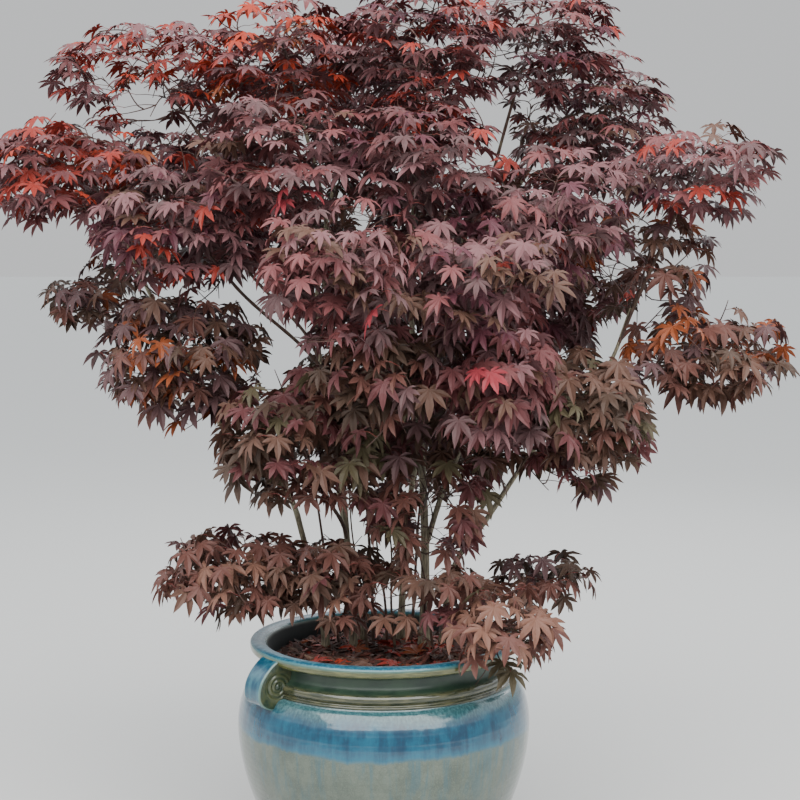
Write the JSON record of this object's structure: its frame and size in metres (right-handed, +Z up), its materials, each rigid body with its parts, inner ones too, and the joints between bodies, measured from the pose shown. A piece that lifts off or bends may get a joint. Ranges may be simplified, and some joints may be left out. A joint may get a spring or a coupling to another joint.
{
  "type": "potted japanese maple",
  "caption": "Multi-stemmed garden shrub with red lobed leaves in tiers, standing in a round glazed pot with two scroll handles.",
  "frame": {"origin": "centre of the pot's flat underside, on the surface the pot stands on", "axes": "+Z up along the pot's axis, +X to the right and -Y towards the front, as in the picture"},
  "size_m": [1.5266, 1.136, 1.6573],
  "materials": {
    "glaze": "glossy blue-green glaze over a grey crackled body",
    "soil": "dark red-brown bark chips and fallen leaves",
    "old_bark": "smooth grey-green bark with fine vertical seams",
    "young_bark": "smooth dark red-brown bark",
    "red_leaves": "matte lobed leaves with a soft sheen",
    "maroon_leaves": "matte lobed leaves with a soft sheen",
    "mauve_leaves": "matte lobed leaves with a soft sheen",
    "rose_leaves": "matte lobed leaves with a soft sheen",
    "bronze_leaves": "matte lobed leaves with a soft sheen",
    "orange_leaves": "matte lobed leaves with a soft sheen",
    "salmon_leaves": "matte lobed leaves with a soft sheen"
  },
  "bodies": {
    "root": {"pot": "glaze", "soil": "soil", "handle_left": "glaze", "handle_right": "glaze", "main_stem": "old_bark", "left_stem": "old_bark", "far_left_stem": "old_bark", "right_stem": "old_bark", "rear_right_stem": "old_bark", "rear_left_stem": "old_bark", "right_leader": "young_bark", "left_tip_leaves": "red_leaves", "left_crest_bough": "young_bark", "left_crest_leaves": "red_leaves", "left_middle_bough": "young_bark", "left_middle_leaves": "mauve_leaves", "left_small_leaves": "bronze_leaves", "left_low_leaves": "orange_leaves", "left_inner_bough": "young_bark", "left_inner_leaves": "bronze_leaves", "skirt_left_bough": "young_bark", "skirt_left_leaves": "bronze_leaves", "skirt_middle_leaves": "bronze_leaves", "crest_left_leaves": "red_leaves", "crest_leaves": "maroon_leaves", "upper_left_bough": "young_bark", "upper_left_leaves": "rose_leaves", "upper_centre_bough": "young_bark", "upper_centre_leaves": "maroon_leaves", "centre_left_bough": "young_bark", "centre_left_leaves": "mauve_leaves", "centre_right_bough": "young_bark", "centre_right_leaves": "rose_leaves", "middle_low_left_bough": "young_bark", "middle_low_left_leaves": "bronze_leaves", "middle_low_right_bough": "young_bark", "middle_low_right_leaves": "maroon_leaves", "right_low_leaves": "rose_leaves", "lower_centre_leaves": "bronze_leaves", "skirt_front_leaves": "bronze_leaves", "skirt_right_bough": "young_bark", "skirt_right_leaves": "salmon_leaves", "twig_right_bough": "young_bark", "twig_right_leaves": "bronze_leaves", "right_upper_leaves": "mauve_leaves", "arm_top_bough": "young_bark", "arm_top_leaves": "mauve_leaves", "right_middle_leaves": "orange_leaves", "arm_low_leaves": "orange_leaves", "rear_crest_right_leaves": "mauve_leaves", "crest_right_bough": "young_bark", "crest_right_leaves": "maroon_leaves", "rear_left_bough": "young_bark", "rear_left_leaves": "maroon_leaves", "rear_top_leaves": "maroon_leaves", "rear_middle_bough": "young_bark", "rear_middle_leaves": "bronze_leaves", "rear_right_bough": "young_bark", "rear_right_leaves": "mauve_leaves", "rear_low_leaves": "bronze_leaves"}
  },
  "joints": []
}
